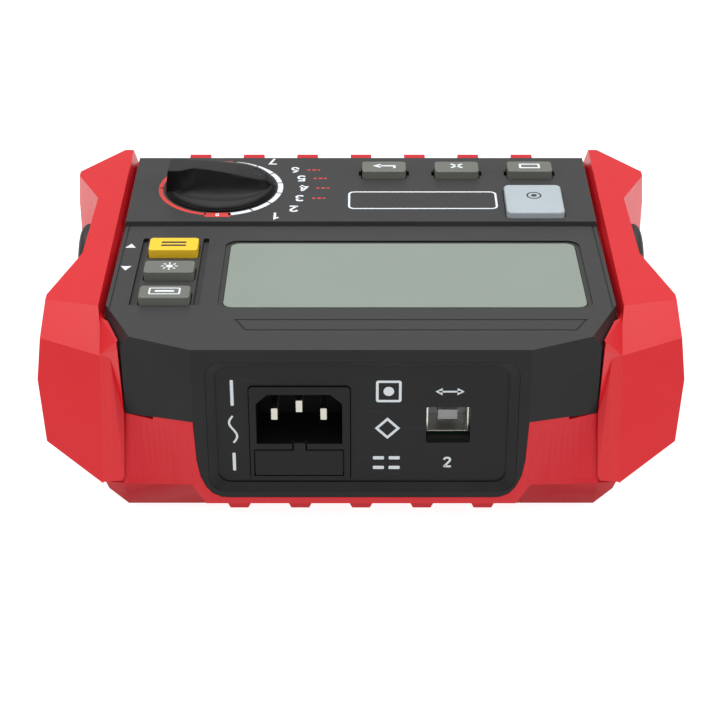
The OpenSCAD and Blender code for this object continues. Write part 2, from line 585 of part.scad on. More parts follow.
module power_board() {
  color([0.1, 0.4, 0.2]) at() difference() {
    box([-66, 31, power_z], [66, 112, power_z + 1.6]);
    for (p = power_bosses) translate([p[0], p[1], 20]) cylinder(r = 1.35, h = 12, $fn = 24);
    for (p = posts) translate([p[0], p[1], 20]) cylinder(r = p[2] + 0.6, h = 12, $fn = 32);
  }
}
module power_screws() {
  color([0.7, 0.7, 0.72]) at() for (p = power_bosses) translate([p[0], p[1], power_z + 1.6]) difference() {
    union() {
      cylinder(r = 2.4, h = 1.7, $fn = 28);
      translate([0, 0, -8.6]) cylinder(r = 1.25, h = 9, $fn = 20);
    }
    for (a = [0, 90]) rotate([0, 0, a]) translate([-1.5, -0.3, 0.9]) cube([3, 0.6, 2]);
  }
}
module relays() {
  color([0.15, 0.35, 0.6]) at() for (y = [56, 72, 88]) box([-34, y, power_z + 1.6], [-14, y + 12, power_z + 12.6]);
}
module transformer() {
  color([0.6, 0.5, 0.2]) at() {
    box([8, 82, power_z + 1.6], [38, 106, power_z + 4]);
    difference() {
      box([10, 84, power_z + 3.9], [36, 104, power_z + 13]);
      for (y = [82, 98.5]) box([16, y, power_z + 5.6], [30, y + 7.5, power_z + 14]);
    }
    translate([16.2, 94, power_z + 9]) rotate([0, 90, 0]) cylinder(r = 3.4, h = 13.6, $fn = 28);
  }
}
module capacitors() {
  color([0.2, 0.25, 0.5]) at() for (p = [[46, 46, 4.5], [46, 90, 4.5], [0, 50, 3.6], [0, 62, 3.6]])
    translate([p[0], p[1], power_z + 1.6]) difference() {
      cylinder(r = p[2], h = 12, $fn = 32);
      for (a = [0, 90]) rotate([0, 0, a]) translate([-p[2] * 0.6, -0.2, 11.7]) cube([p[2] * 1.2, 0.4, 2]);
    }
}
module terminal_block() {
  color([0.15, 0.5, 0.25]) at() difference() {
    box([-30, 44, power_z + 1.6], [-5, 54, power_z + 12]);
    for (x = [-25, -17.5, -10]) {
      translate([x, 43, power_z + 5.5]) rotate([-90, 0, 0]) cylinder(r = 2.1, h = 6, $fn = 24);
      translate([x, 50.5, power_z + 6]) cylinder(r = 1.9, h = 8, $fn = 24);
    }
  }
}

module mains_inlet() {
  color([0.13, 0.13, 0.14]) at() difference() {
    union() {
      facing(1.5, 3.2) rrect(-31.6, -3.1, 12.8, 44.2, 1.2);
      box([-30.6, 3.1, 13.6], [-4.1, 27, 43.2]);
    }
    // plug recess with two cut corners
    facing(0, 18.5) polygon([[-29.7, 25.3], [-5.3, 25.3], [-5.3, 38.6], [-8.6, 41.7], [-26.4, 41.7], [-29.7, 38.6]]);
    // seat for the drawer's face and its channel
    facing(0, 2.9) square([0.01, 0.01]);
    box([-30.6, 0, 14.3], [-4.8, 2.9, 23.4]);
    box([-29.3, 2, 15.1], [-6.1, 25.5, 22.6]);
    // release notch into the recess
    box([-19.6, 0, 22], [-15.4, 3.4, 26]);
    // pin holes
    for (p = [[-24.6, 34], [-17.5, 37.2], [-10.6, 34]]) box([p[0] - 1, 18, p[1] - 2], [p[0] + 1, 28, p[1] + 2]);
  }
}
module inlet_pins() {
  color([0.8, 0.78, 0.7]) at() for (p = [[-24.6, 34, 0], [-17.5, 37.2, 1], [-10.6, 34, 0]]) {
    box([p[0] - 1, 18.5 - pin_len - p[2], p[1] - 2], [p[0] + 1, 27, p[1] + 2]);
    box([p[0] - 0.4, 27, p[1] - 2], [p[0] + 0.4, 32, p[1] + 2]);
  }
}
module fuse_drawer() {
  color([0.12, 0.12, 0.13]) at() difference() {
    union() {
      box([-30.3, 1.3, 14.6], [-5.1, 2.9 - 0.1, 23.1]);
      box([-29.3 + drawer_gap, 2.5, 15.1 + drawer_gap], [-6.1 - drawer_gap, 24.6, 22.6 - drawer_gap]);
      box([-19.2, 1.3, 22.6], [-15.8, 2.8, 25.7]);
    }
    for (y = [7, 15.4]) box([-27.9, y, 16.2], [-7.5, y + 5.8, 30]);
  }
}
module fuse_glass() {
  color([0.85, 0.9, 0.9, 0.5]) at() for (y = [9.9, 18.3]) translate([-22.5, y, 19.1]) rotate([0, 90, 0]) difference() {
    cylinder(r = 2.4, h = 9.6, $fn = 32);
    translate([0, 0, -1]) cylinder(r = 1.9, h = 12, $fn = 24);
  }
}
module fuse_caps() {
  color([0.8, 0.8, 0.8]) at() for (y = [9.9, 18.3], x = [-27.7, -12.9]) translate([x, y, 19.1]) rotate([0, 90, 0])
    cylinder(r = 2.6, h = 5.2, $fn = 32);
}

module usb_board() {
  color([0.1, 0.4, 0.2]) at() difference() {
    box([11.5, 7, 23.9], [38.5, 30.4, 25.5]);
    for (x = [14.6, 35]) translate([x, 20, 20]) cylinder(r = 1.1, h = 8, $fn = 20);
  }
}
module usb_shell() {
  color([0.8, 0.8, 0.82]) at() difference() {
    facing(6.9, 23.1) polygon([[18.6, 26], [30.9, 26], [30.9, 34.4], [28.4, 37.2], [21.1, 37.2], [18.6, 34.4]]);
    facing(6, 22.6) polygon([[19.2, 26.5], [30.3, 26.5], [30.3, 34.2], [28.2, 36.7], [21.3, 36.7], [19.2, 34.2]]);
  }
}
module usb_insert() {
  color([0.82, 0.82, 0.8]) at() difference() {
    union() {
      facing(15.8, 22.6) polygon([[19.2, 26.5], [30.3, 26.5], [30.3, 34.2], [28.2, 36.7], [21.3, 36.7], [19.2, 34.2]]);
      box([21.9, 7.6, 29.8], [27.6, 16.2, 33]);
    }
    for (x = [23.1, 25.3]) box([x, 8.4, 32.7], [x + 1.1, 14, 34]);
    for (x = [23.1, 25.3]) box([x, 8.4, 29], [x + 1.1, 14, 30.1]);
  }
}
module usb_contacts() {
  color([0.85, 0.7, 0.3]) at() for (x = [23.1, 25.3]) {
    box([x, 8.4, 32.7], [x + 1.1, 14, 33]);
    box([x, 8.4, 29.8], [x + 1.1, 14, 30.1]);
  }
}

// Smooth wire from a to b that leaves and arrives along y, bulging by h
function wire_at(a, b, t) = let (k = (b[1] - a[1]) * 0.55, p = a + [0, k, 0], q = b - [0, k, 0], s = 1 - t)
  s * s * s * a + 3 * s * s * t * p + 3 * s * t * t * q + t * t * t * b;
module wire(a, b, r) {
  n = 14; m = 10;
  pts = [for (i = [0 : n]) let (p = wire_at(a, b, i / n), e = 0.01,
      d = wire_at(a, b, min(1, i / n + e)) - wire_at(a, b, max(0, i / n - e)), u = d / norm(d),
      g = cross(u, [1, 0, 0]), v = g / norm(g), w = cross(u, v))
    for (j = [0 : m - 1]) p + r * (cos(360 * j / m) * v + sin(360 * j / m) * w)];
  polyhedron(points = pts, faces = concat([[for (j = [m - 1 : -1 : 0]) j]], [[for (j = [0 : m - 1]) n * m + j]],
    [for (i = [0 : n - 1], j = [0 : m - 1]) [i * m + j, i * m + (j + 1) % m, (i + 1) * m + (j + 1) % m, (i + 1) * m + j]]));
}
module wire_live() { color([0.45, 0.25, 0.1]) at() wire([-24.6, 32, 34], [-25, 48.6, 31.5], 1.1); }
module wire_neutral() { color([0.15, 0.3, 0.7]) at() wire([-10.6, 32, 34], [-10, 48.6, 31.5], 1.1); }
module wire_earth() { color([0.3, 0.6, 0.2]) at() wire([-17.5, 32, 37.2], [-17.5, 48.6, 31.5], 1.1); }

module battery_tray() {
  color([0.14, 0.14, 0.15]) at() difference() {
    union() {
      box([-46.4, tray_y0 - 1.5, 4.5], [46.4, tray_y1 + 1.5, 21.2]);
      translate([8.9, 121, 5.4]) cylinder(r = 2.9, h = 8.6, $fn = 32);
      box([6, 118.5, 5.4], [11.8, 121, 14]);
    }
    box([-44.9, tray_y0, 4], [44.9, tray_y1, 19.7]);
    translate([8.9, 121, 5]) cylinder(r = 2.1, h = 6, $fn = 28);
  }
}
module battery_cells() {
  color([0.25, 0.25, 0.28]) at() for (i = [-2.5 : 1 : 2.5]) translate([i * 14.8, 0, 12.1]) {
    s = (i - 0.5) % 2 == 0 ? 1 : -1;
    translate([0, 90.5, 0]) scale([1, s, 1]) rotate([90, 0, 0]) translate([0, 0, -cell_l / 2]) {
      cylinder(r = cell_d / 2, h = cell_l, $fn = 40);
      translate([0, 0, cell_l - 0.1]) cylinder(r = 2.7, h = 1.1, $fn = 24);
    }
  }
}
module battery_contacts() {
  color([0.8, 0.8, 0.78]) at() {
    for (i = [-2.5 : 1 : 2.5]) translate([i * 14.8, 0, 12.1]) {
      box([-4.5, tray_y0, -5], [4.5, tray_y0 + 0.3, 5]);
      box([-4.5, tray_y1 - 0.3, -5], [4.5, tray_y1, 5]);
    }
  }
}
module battery_door() {
  color([0.85, 0.16, 0.18]) at() difference() {
    union() {
      box([-45.2, door_axis_y, 1.8], [45.2, 123.6, 4.2]);
      translate([-45.2, door_axis_y, door_axis_z]) rotate([0, 90, 0]) cylinder(r = 1.2, h = 90.4, $fn = 32);
      translate([-47.2, door_axis_y, door_axis_z]) rotate([0, 90, 0]) cylinder(r = 0.8, h = 94.4, $fn = 24);
      for (i = [-2 : 2]) rib(i * foot_pitch, 65, 123.6, 0, 2, foot_w + 0.2, foot_w - 1.7);
    }
    translate([8.9, 121, -1]) cylinder(r = 2.9, h = 4.2, $fn = 32);
    translate([8.9, 121, -1]) cylinder(r = 1.6, h = 8, $fn = 24);
  }
}
module door_screw() {
  color([0.7, 0.7, 0.72]) at() translate([8.9, 121, 0]) difference() {
    union() {
      translate([0, 0, 2]) cylinder(r = 2.6, h = 1.2, $fn = 32);
      translate([0, 0, 3]) cylinder(r = 1.25, h = 4.2, $fn = 24);
      translate([0, 0, 4.25]) cylinder(r = 1.9, h = 0.5, $fn = 24);
    }
    translate([-3, -0.4, 1]) cube([6, 0.8, 1.6]);
  }
}
module door_insert() {
  color([0.8, 0.65, 0.3]) at() translate([8.9, 121, 5.5]) difference() {
    cylinder(r = 2.1, h = 5.4, $fn = 28);
    translate([0, 0, -1]) cylinder(r = 1.6, h = 8, $fn = 24);
  }
}

top_cover();
lower_shell();
side_guard_left();
side_guard_right();
connector_plate();
case_screws();
guard_screws();
strap_lug_left();
strap_lug_right();
lug_screws();
display_lens();
lcd_glass();
lcd_frame();
backlight_panel();
zebra_strips();
selector_knob();
selector_rotor();
wiper_contacts();
detent_balls();
detent_springs();
detent_ring();
yellow_key();
backlight_key();
display_key();
enter_key();
clear_key();
memory_key();
measure_key();
keypad_left();
keypad_right();
control_board();
logic_chips();
buzzer();
board_screws();
board_header();
power_board();
power_screws();
relays();
transformer();
capacitors();
terminal_block();
mains_inlet();
inlet_pins();
fuse_drawer();
fuse_glass();
fuse_caps();
usb_board();
usb_shell();
usb_insert();
usb_contacts();
wire_live();
wire_neutral();
wire_earth();
battery_tray();
battery_cells();
battery_contacts();
battery_door();
door_screw();
door_insert();
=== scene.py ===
import json
import math
import bmesh
import bpy
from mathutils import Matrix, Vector


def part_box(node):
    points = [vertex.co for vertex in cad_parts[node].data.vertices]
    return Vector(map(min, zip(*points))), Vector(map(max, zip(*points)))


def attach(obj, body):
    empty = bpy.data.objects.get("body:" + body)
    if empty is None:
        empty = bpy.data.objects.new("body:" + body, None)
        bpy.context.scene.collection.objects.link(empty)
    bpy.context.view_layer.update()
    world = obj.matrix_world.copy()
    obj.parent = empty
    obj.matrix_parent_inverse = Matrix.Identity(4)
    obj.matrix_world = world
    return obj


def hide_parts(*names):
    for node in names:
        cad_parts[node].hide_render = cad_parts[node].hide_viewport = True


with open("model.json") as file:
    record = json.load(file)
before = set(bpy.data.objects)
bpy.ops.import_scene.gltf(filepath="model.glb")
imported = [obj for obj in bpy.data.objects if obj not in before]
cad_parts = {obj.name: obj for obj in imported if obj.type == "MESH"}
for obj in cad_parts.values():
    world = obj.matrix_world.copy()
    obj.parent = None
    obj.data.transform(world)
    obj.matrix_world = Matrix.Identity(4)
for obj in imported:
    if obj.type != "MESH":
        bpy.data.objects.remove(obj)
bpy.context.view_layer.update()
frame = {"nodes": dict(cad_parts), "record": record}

scene = bpy.context.scene
scene.view_settings.view_transform = "Standard"
NODES = frame["nodes"]
BODY_OF = {n: b for b, ns in frame["record"]["behaviour"]["bodies"].items() for n in ns}

# ---------------------------------------------------------------- places
# Lengths below are millimetres from the connector face (y), the middle (x) and the surface it stands on (z).
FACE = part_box("top_cover")[0].y * 1000
PANEL = 54.7
KNOB = (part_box("selector_knob")[0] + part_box("selector_knob")[1]) * 500
KX, KY = KNOB.x, KNOB.y - FACE
TILT = math.radians(2.87)


def P(x, y, z):
    return Vector((x, y + FACE, z)) / 1000


def level(x, y, h):
    """On the level panel round the selector."""
    return P(x, y, PANEL + h)


def slope(x, y, h):
    """On the sloping display panel."""
    return P(x, y + h * math.sin(TILT), 57.2 - (y - 8.6) * math.tan(TILT) + h * math.cos(TILT))


def plate(x, z, h):
    """On the connector plate; h comes towards the connector side."""
    return P(x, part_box("connector_plate")[0].y * 1000 - FACE - h, z)


def band(x, y, h):
    return P(x, y, 57.2 + h)


# ---------------------------------------------------------------- camera and light
cam = bpy.data.cameras.new("camera")
cam.lens, cam.sensor_width, cam.shift_x = 100.5, 36, -1 / 720
cam.clip_start, cam.clip_end = 0.01, 20
camera = bpy.data.objects.new("camera", cam)
scene.collection.objects.link(camera)
camera.location = P(0, -478.5, 338.1)
camera.rotation_euler = (math.radians(59.3), 0, 0)
scene.camera = camera

world = bpy.data.worlds.new("studio")
scene.world = world
world.use_nodes = True
wn = world.node_tree.nodes
wn["Background"].inputs["Color"].default_value = (1, 1, 1, 1)
wn["Background"].inputs["Strength"].default_value = 0.50


def area(name, place, target, size, power, colour=(1, 1, 1), size_y=None):
    light = bpy.data.lights.new(name, "AREA")
    light.energy, light.color = power, colour
    light.shape, light.size, light.size_y = "RECTANGLE", size, size_y or size
    o = bpy.data.objects.new(name, light)
    scene.collection.objects.link(o)
    o.location = place
    o.rotation_euler = (Vector(target) - Vector(place)).to_track_quat("-Z", "Y").to_euler()
    return o


area("overhead", (0, 0.25, 1.1), (0, 0, 0), 1.0, 10, size_y=0.9)
area("left", (-1.1, -0.35, 0.75), (0, 0, 0.03), 0.6, 3.4)
area("right", (1.1, -0.35, 0.75), (0, 0, 0.03), 0.6, 3.4)
area("front", (0, -1.3, 0.6), (0, 0, 0.03), 0.7, 2.4)


# ---------------------------------------------------------------- materials
def material(name, colour, rough=0.45, grain=0.25, grain_size=0.5, grain_depth=0.010, vary=0.05, rough_vary=0.07,
             scuff=0.0, scuff_colour=None, metallic=0.0, ior=1.46, coat=0.0, coat_rough=0.1, transmission=0.0, mottle=35, painted_top_light=None, painted_underside_shade=None):
    m = bpy.data.materials.new(name)
    m.use_nodes = True
    t = m.node_tree
    n, l = t.nodes, t.links
    b = n["Principled BSDF"]
    b.inputs["Metallic"].default_value = metallic
    b.inputs["IOR"].default_value = ior
    b.inputs["Coat Weight"].default_value = coat
    b.inputs["Coat Roughness"].default_value = coat_rough
    b.inputs["Transmission Weight"].default_value = transmission
    co = n.new("ShaderNodeTexCoord")
    # soft mottling of the colour
    big = n.new("ShaderNodeTexNoise")
    big.inputs["Scale"].default_value = mottle
    big.inputs["Detail"].default_value = 4
    l.new(co.outputs["Object"], big.inputs["Vector"])
    ramp = n.new("ShaderNodeValToRGB")
    ramp.color_ramp.elements[0].position, ramp.color_ramp.elements[1].position = 0.3, 0.7
    ramp.color_ramp.elements[0].color = [c * (1 - vary) for c in colour] + [1]
    ramp.color_ramp.elements[1].color = [min(1, c * (1 + vary)) for c in colour] + [1]
    l.new(big.outputs["Fac"], ramp.inputs["Fac"])
    out = ramp.outputs["Color"]
    if painted_top_light:
        # painted top light: faces that look up get a lighter colour mixed in, standing in for the overhead light
        # falling on them
        sep = n.new("ShaderNodeSeparateXYZ")
        l.new(co.outputs["Normal"], sep.inputs["Vector"])
        face = n.new("ShaderNodeMapRange")
        face.inputs["From Min"].default_value, face.inputs["From Max"].default_value = 0.90, 0.985
        l.new(sep.outputs["Z"], face.inputs["Value"])
        up = n.new("ShaderNodeMix")
        up.data_type = "RGBA"
        l.new(out, up.inputs["A"])
        up.inputs["B"].default_value = list(painted_top_light) + [1]
        l.new(face.outputs["Result"], up.inputs["Factor"])
        out = up.outputs["Result"]
    if painted_underside_shade:
        # painted shade: faces that look down at the table are painted darker and given less specular, standing in for
        # the shade under the shell
        sep = n.new("ShaderNodeSeparateXYZ")
        l.new(co.outputs["Normal"], sep.inputs["Vector"])
        face = n.new("ShaderNodeMapRange")
        face.inputs["From Min"].default_value, face.inputs["From Max"].default_value = -0.15, -0.45
        l.new(sep.outputs["Z"], face.inputs["Value"])
        down = n.new("ShaderNodeMix")
        down.data_type = "RGBA"
        l.new(out, down.inputs["A"])
        down.inputs["B"].default_value = list(painted_underside_shade) + [1]
        l.new(face.outputs["Result"], down.inputs["Factor"])
        out = down.outputs["Result"]
        gloss = n.new("ShaderNodeMapRange")
        gloss.inputs["To Min"].default_value, gloss.inputs["To Max"].default_value = 0.5, 0.1
        l.new(face.outputs["Result"], gloss.inputs["Value"])
        l.new(gloss.outputs["Result"], b.inputs["Specular IOR Level"])
    # roughness that varies over the surface
    mid = n.new("ShaderNodeTexNoise")
    mid.inputs["Scale"].default_value = mottle * 4
    mid.inputs["Detail"].default_value = 6
    l.new(co.outputs["Object"], mid.inputs["Vector"])
    rng = n.new("ShaderNodeMapRange")
    rng.inputs["From Min"].default_value, rng.inputs["From Max"].default_value = 0.3, 0.7
    rng.inputs["To Min"].default_value, rng.inputs["To Max"].default_value = max(0.02, rough - rough_vary), min(1, rough + rough_vary)
    l.new(mid.outputs["Fac"], rng.inputs["Value"])
    rough_out = rng.outputs["Result"]
    if scuff > 0:
        # fine handling scuffs: stretched noise cut to thin streaks
        mp = n.new("ShaderNodeMapping")
        mp.inputs["Rotation"].default_value = (0.3, 0.2, 0.6)
        mp.inputs["Scale"].default_value = (60, 900, 500)
        l.new(co.outputs["Object"], mp.inputs["Vector"])
        sn = n.new("ShaderNodeTexNoise")
        sn.inputs["Scale"].default_value, sn.inputs["Detail"].default_value = 1, 3
        l.new(mp.outputs["Vector"], sn.inputs["Vector"])
        gate = n.new("ShaderNodeMapRange")
        gate.inputs["From Min"].default_value, gate.inputs["From Max"].default_value = 0.66, 0.74
        gate.inputs["To Min"].default_value, gate.inputs["To Max"].default_value = 0, scuff
        l.new(sn.outputs["Fac"], gate.inputs["Value"])
        mix = n.new("ShaderNodeMix")
        mix.data_type = "RGBA"
        mix.inputs["B"].default_value = list(scuff_colour or [min(1, c * 1.6 + 0.05) for c in colour]) + [1]
        l.new(out, mix.inputs["A"])
        l.new(gate.outputs["Result"], mix.inputs["Factor"])
        out = mix.outputs["Result"]
        add = n.new("ShaderNodeMath")
        add.operation = "ADD"
        l.new(rough_out, add.inputs[0])
        l.new(gate.outputs["Result"], add.inputs[1])
        rough_out = add.outputs["Value"]
    l.new(out, b.inputs["Base Color"])
    l.new(rough_out, b.inputs["Roughness"])
    fine = n.new("ShaderNodeTexNoise")
    fine.inputs["Scale"].default_value = 1000 / grain_size
    fine.inputs["Detail"].default_value = 2
    l.new(co.outputs["Object"], fine.inputs["Vector"])
    bump = n.new("ShaderNodeBump")
    bump.inputs["Strength"].default_value = grain
    bump.inputs["Distance"].default_value = grain_depth / 1000
    l.new(fine.outputs["Fac"], bump.inputs["Height"])
    l.new(bump.outputs["Normal"], b.inputs["Normal"])
    return m


def s(r, g, b):
    """Linear values of a display colour."""
    return [(c / 255 / 12.92) if c <= 10 else ((c / 255 + 0.055) / 1.055) ** 2.4 for c in (r, g, b)]


M = {}
M["red_guard"] = material("red_guard", (0.60, 0.010, 0.016), 0.35, ior=1.45, grain=0.30, grain_size=0.9, scuff=0.006, vary=0.02, rough_vary=0.04)
# the red shell's down-facing faces get a darker painted shade
M["red_shell"] = material("red_shell", (0.53, 0.012, 0.019), 0.42, ior=1.36, painted_underside_shade=(0.32, 0.006, 0.010), grain=0.30, grain_size=0.9, scuff=0.006, vary=0.02, rough_vary=0.04)
# the black cover's up-facing faces are painted lighter: painted top light
M["black"] = material("black_case", (0.011, 0.011, 0.012), 0.42, grain=0.5, grain_size=0.6, scuff=0.10, scuff_colour=(0.06, 0.06, 0.064), vary=0.08, ior=1.27, painted_top_light=(0.045, 0.045, 0.046))
M["panel"] = material("panel_film", (0.040, 0.040, 0.041), 0.48, grain=0.4, grain_size=0.35, scuff=0.06, scuff_colour=(0.11, 0.11, 0.11), vary=0.05)
M["plate"] = material("plate_film", (0.012, 0.012, 0.0125), 0.42, ior=1.25, grain=0.25, grain_size=0.4, scuff=0.08, scuff_colour=(0.06, 0.06, 0.06), vary=0.08)
M["inlet"] = material("inlet_plastic", (0.007, 0.007, 0.0075), 0.36, ior=1.27, grain=0.2, grain_size=0.7, scuff=0.08, scuff_colour=(0.05, 0.05, 0.05))
# the knob's up-facing faces are painted lighter (painted top light), so the scoop walls stay dark
M["knob"] = material("knob_plastic", (0.004, 0.004, 0.0042), 0.42, ior=1.22, painted_top_light=(0.030, 0.030, 0.031), grain=0.4, grain_size=0.5, scuff=0.10, scuff_colour=(0.09, 0.09, 0.09), vary=0.08)
M["rubber"] = material("lug_rubber", (0.020, 0.020, 0.021), 0.62, grain=0.6, grain_size=0.5, scuff=0.10, scuff_colour=(0.07, 0.07, 0.07))
M["grey_key"] = material("grey_key", s(106, 109, 101), 0.46, grain=0.3, grain_size=0.4, scuff=0.06, vary=0.04)
M["yellow_key"] = material("yellow_key", (0.88, 0.56, 0.020), 0.42, grain=0.3, grain_size=0.4, scuff=0.06, vary=0.03)
M["pale_key"] = material("pale_key", s(170, 180, 186), 0.40, grain=0.3, grain_size=0.4, scuff=0.05, vary=0.03)
M["white_ink"] = material("white_ink", s(226, 231, 238), 0.50, grain=0.2, grain_size=0.3, vary=0.03, scuff=0.05, scuff_colour=s(180, 184, 190))
M["grey_ink"] = material("grey_ink", s(196, 202, 206), 0.50, grain=0.2, grain_size=0.3, vary=0.04, scuff=0.06, scuff_colour=s(150, 154, 158))
M["line_ink"] = material("line_ink", s(104, 105, 106), 0.50, grain=0.2, grain_size=0.3, vary=0.05)
M["red_ink"] = material("red_ink", s(205, 62, 58), 0.48, grain=0.2, grain_size=0.3, vary=0.05)
M["dark_ink"] = material("dark_ink", s(36, 40, 44), 0.48, grain=0.2, grain_size=0.3, vary=0.08)
M["lcd"] = material("lcd_sheet", s(164, 174, 165), 0.55, grain=0.15, grain_size=0.3, vary=0.03, rough_vary=0.05)
M["film"] = material("display_film", s(136, 146, 137), 0.34, grain=0.08, grain_size=0.4, vary=0.02, rough_vary=0.04, ior=1.40)
M["steel"] = material("screw_steel", (0.52, 0.52, 0.53), 0.32, grain=0.3, grain_size=0.25, metallic=1, vary=0.08)
M["nickel"] = material("pin_nickel", (0.53, 0.515, 0.46), 0.32, grain=0.15, grain_size=0.25, metallic=1, vary=0.06)
M["usb_metal"] = material("usb_metal", (0.74, 0.73, 0.69), 0.28, grain=0.15, grain_size=0.25, metallic=1, vary=0.05)
M["usb_white"] = material("usb_plastic", s(158, 160, 160), 0.40, grain=0.2, grain_size=0.4, vary=0.05)
M["brass"] = material("contact_brass", (0.72, 0.50, 0.20), 0.30, grain=0.2, grain_size=0.25, metallic=1, vary=0.08)
M["silicone"] = material("silicone", s(150, 152, 150), 0.60, grain=0.3, grain_size=0.5, vary=0.06)
M["board"] = material("board_green", (0.006, 0.030, 0.012), 0.45, grain=0.5, grain_size=0.6, vary=0.15)
M["chip"] = material("chip_black", (0.018, 0.018, 0.020), 0.50, grain=0.5, grain_size=0.3, vary=0.1)
M["natural"] = material("natural_plastic", s(214, 210, 198), 0.45, grain=0.3, grain_size=0.5, vary=0.05)
M["relay"] = material("relay_blue", (0.02, 0.06, 0.26), 0.35, grain=0.3, grain_size=0.5, vary=0.06)
M["winding"] = material("winding_tape", (0.55, 0.38, 0.06), 0.50, grain=0.5, grain_size=0.5, vary=0.10)
M["sleeve"] = material("capacitor_sleeve", (0.03, 0.05, 0.16), 0.35, grain=0.2, grain_size=0.5, vary=0.1)
M["terminal"] = material("terminal_green", (0.02, 0.22, 0.07), 0.45, grain=0.3, grain_size=0.5, vary=0.07)
M["brown"] = material("wire_brown", (0.13, 0.045, 0.015), 0.45, grain=0.2, grain_size=0.4, vary=0.08)
M["blue"] = material("wire_blue", (0.02, 0.10, 0.45), 0.45, grain=0.2, grain_size=0.4, vary=0.08)
M["green"] = material("wire_green", (0.12, 0.40, 0.04), 0.45, grain=0.2, grain_size=0.4, vary=0.08)
M["cell"] = material("cell_sleeve", (0.035, 0.035, 0.040), 0.32, grain=0.2, grain_size=0.5, vary=0.15)
M["lens"] = material("lens_acrylic", (0.97, 0.98, 0.97), 0.06, grain=0.02, grain_size=1.5, rough_vary=0.03, vary=0.01, transmission=1.0, ior=1.49)
M["fuse_glass"] = material("fuse_glass", (0.95, 0.97, 0.97), 0.06, grain=0.02, grain_size=1.5, rough_vary=0.03, vary=0.01, transmission=1.0, ior=1.5)

NODE_MATERIAL = {
    "top_cover": "black", "lower_shell": "red_shell", "side_guard_left": "red_guard", "side_guard_right": "red_guard",
    "connector_plate": "plate", "case_screws": "steel", "guard_screws": "steel", "strap_lug_left": "rubber", "strap_lug_right": "rubber",
    "lug_screws": "steel", "display_lens": "lens", "lcd_glass": "lcd", "lcd_frame": "chip", "backlight_panel": "natural",
    "zebra_strips": "silicone", "selector_knob": "knob", "selector_rotor": "natural", "wiper_contacts": "brass", "detent_balls": "steel",
    "detent_springs": "steel", "detent_ring": "natural", "yellow_key": "yellow_key", "backlight_key": "grey_key", "display_key": "grey_key",
    "enter_key": "grey_key", "clear_key": "grey_key", "memory_key": "grey_key", "measure_key": "pale_key", "keypad_left": "silicone",
    "keypad_right": "silicone", "control_board": "board", "logic_chips": "chip", "buzzer": "chip", "board_screws": "steel",
    "board_header": "chip", "power_board": "board", "power_screws": "steel", "relays": "relay", "transformer": "winding",
    "capacitors": "sleeve", "terminal_block": "terminal", "mains_inlet": "inlet", "inlet_pins": "nickel", "fuse_drawer": "inlet",
    "fuse_glass": "fuse_glass", "fuse_caps": "nickel", "usb_board": "board", "usb_shell": "usb_metal", "usb_insert": "usb_white",
    "usb_contacts": "brass", "wire_live": "brown", "wire_neutral": "blue", "wire_earth": "green", "battery_tray": "chip",
    "battery_cells": "cell", "battery_contacts": "steel", "battery_door": "red_shell", "door_screw": "steel", "door_insert": "brass",
}


# ---------------------------------------------------------------- edges of the CAD nodes
def smooth_group(angle):
    g = bpy.data.node_groups.new(f"smooth_{round(math.degrees(angle))}", "GeometryNodeTree")
    g.interface.new_socket("Geometry", in_out="INPUT", socket_type="NodeSocketGeometry")
    g.interface.new_socket("Geometry", in_out="OUTPUT", socket_type="NodeSocketGeometry")
    a, z = g.nodes.new("NodeGroupInput"), g.nodes.new("NodeGroupOutput")
    face = g.nodes.new("GeometryNodeSetShadeSmooth")
    face.domain = "FACE"
    edge = g.nodes.new("GeometryNodeSetShadeSmooth")
    edge.domain = "EDGE"
    ang = g.nodes.new("GeometryNodeInputMeshEdgeAngle")
    less = g.nodes.new("FunctionNodeCompare")
    less.data_type, less.operation = "FLOAT", "LESS_EQUAL"
    less.inputs["B"].default_value = angle
    g.links.new(ang.outputs["Unsigned Angle"], less.inputs["A"])
    g.links.new(a.outputs[0], face.inputs["Geometry"])
    g.links.new(face.outputs[0], edge.inputs["Geometry"])
    g.links.new(less.outputs["Result"], edge.inputs["Shade Smooth"])
    g.links.new(edge.outputs[0], z.inputs[0])
    return g


SMOOTH = smooth_group(math.radians(38))
BEVEL = {
    "top_cover": 0.45, "lower_shell": 0.5, "side_guard_left": 1.7, "side_guard_right": 1.7, "connector_plate": 0.15,
    "strap_lug_left": 0.6, "strap_lug_right": 0.6, "yellow_key": 0.8, "backlight_key": 0.8, "display_key": 0.8,
    "enter_key": 0.8, "clear_key": 0.8, "memory_key": 0.8, "measure_key": 0.9, "mains_inlet": 0.3, "fuse_drawer": 0.3,
    "inlet_pins": 0.6, "usb_shell": 0.12, "usb_insert": 0.15, "battery_door": 0.4, "case_screws": 0.12, "guard_screws": 0.12,
    "battery_tray": 0.2, "relays": 0.3, "transformer": 0.3, "terminal_block": 0.2, "lug_screws": 0.12,
}
for name, o in NODES.items():
    o.data.materials.clear()
    o.data.materials.append(M[NODE_MATERIAL[name]])
    if name in BEVEL:
        w = o.modifiers.new("weld", "WELD")
        w.merge_threshold = 2e-6
        d = o.modifiers.new("flat", "DECIMATE")
        d.decimate_type, d.angle_limit = "DISSOLVE", 0.01
        b = o.modifiers.new("round", "BEVEL")
        b.width, b.segments = BEVEL[name] / 1000, 3
        b.limit_method, b.angle_limit = "ANGLE", math.radians(20)
        b.use_clamp_overlap = True
        b.harden_normals = False
        g = o.modifiers.new("smooth", "NODES")
        g.node_group = SMOOTH
        if name != "lower_shell":
            n = o.modifiers.new("normals", "WEIGHTED_NORMAL")
            n.keep_sharp = True
            n.weight = 60


